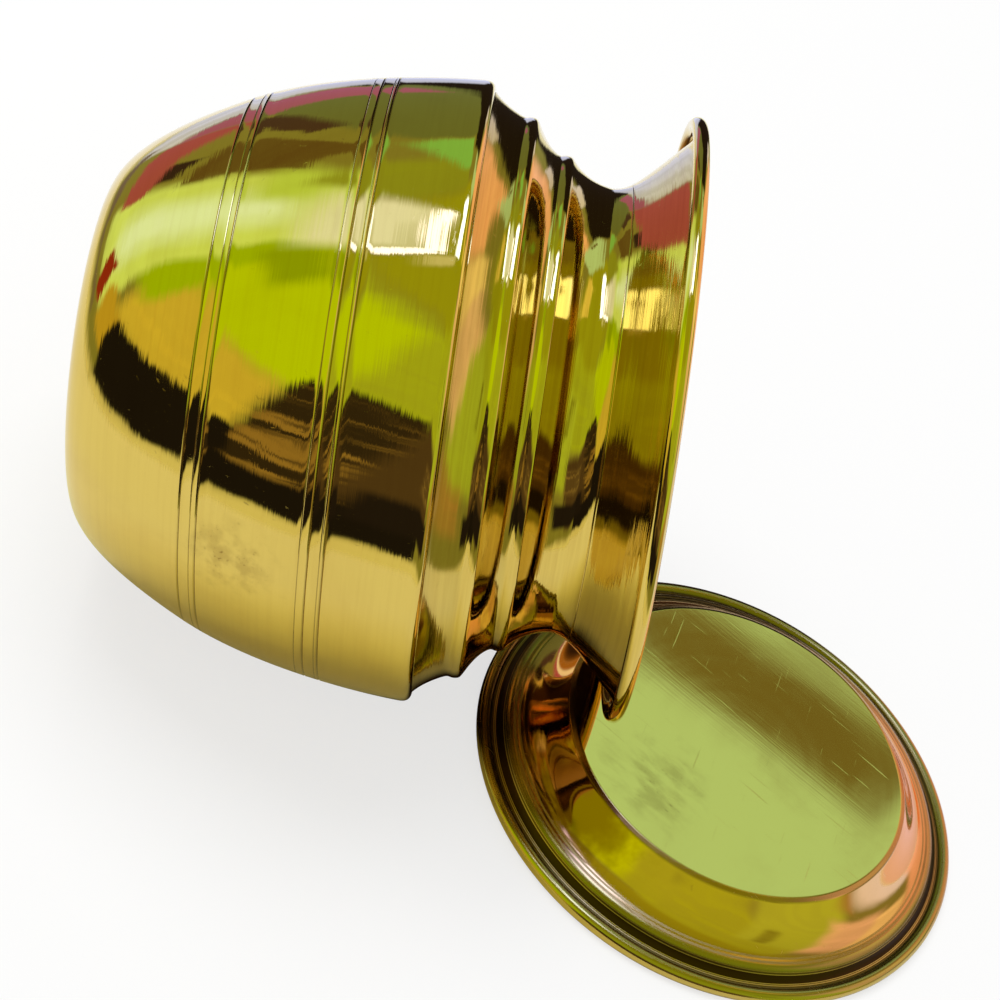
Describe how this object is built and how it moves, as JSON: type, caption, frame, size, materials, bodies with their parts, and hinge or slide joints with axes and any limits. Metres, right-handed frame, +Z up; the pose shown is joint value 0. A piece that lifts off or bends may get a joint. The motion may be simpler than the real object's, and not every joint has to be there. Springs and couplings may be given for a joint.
{
  "type": "water pot with lid",
  "caption": "Turned brass water pot with a barrel body, stepped neck and flared mouth, lying with its lip over a loose dish lid.",
  "frame": {"origin": "centre of the whole object's box, on the table", "axes": "+Z up from the table; +X along the table the way the pot's mouth points, with the pot's axis in the XZ plane and tilted 14 degrees up; +Y across"},
  "size_m": [0.1787, 0.1146, 0.1089],
  "materials": {
    "pot_bowl": "polished, with fine turning lines",
    "pot_neck": "polished, with fine turning lines",
    "lid": "polished, with straight rubbing marks on the flat"
  },
  "bodies": {
    "pot": {"pot_bowl": "pot_bowl", "pot_neck": "pot_neck"},
    "lid": {"lid": "lid"}
  },
  "joints": [
    {"name": "lid_slide", "type": "slide", "parent": "pot", "child": "lid", "axis": [1, 0, 0], "range_m": [0, 0.08]}
  ]
}
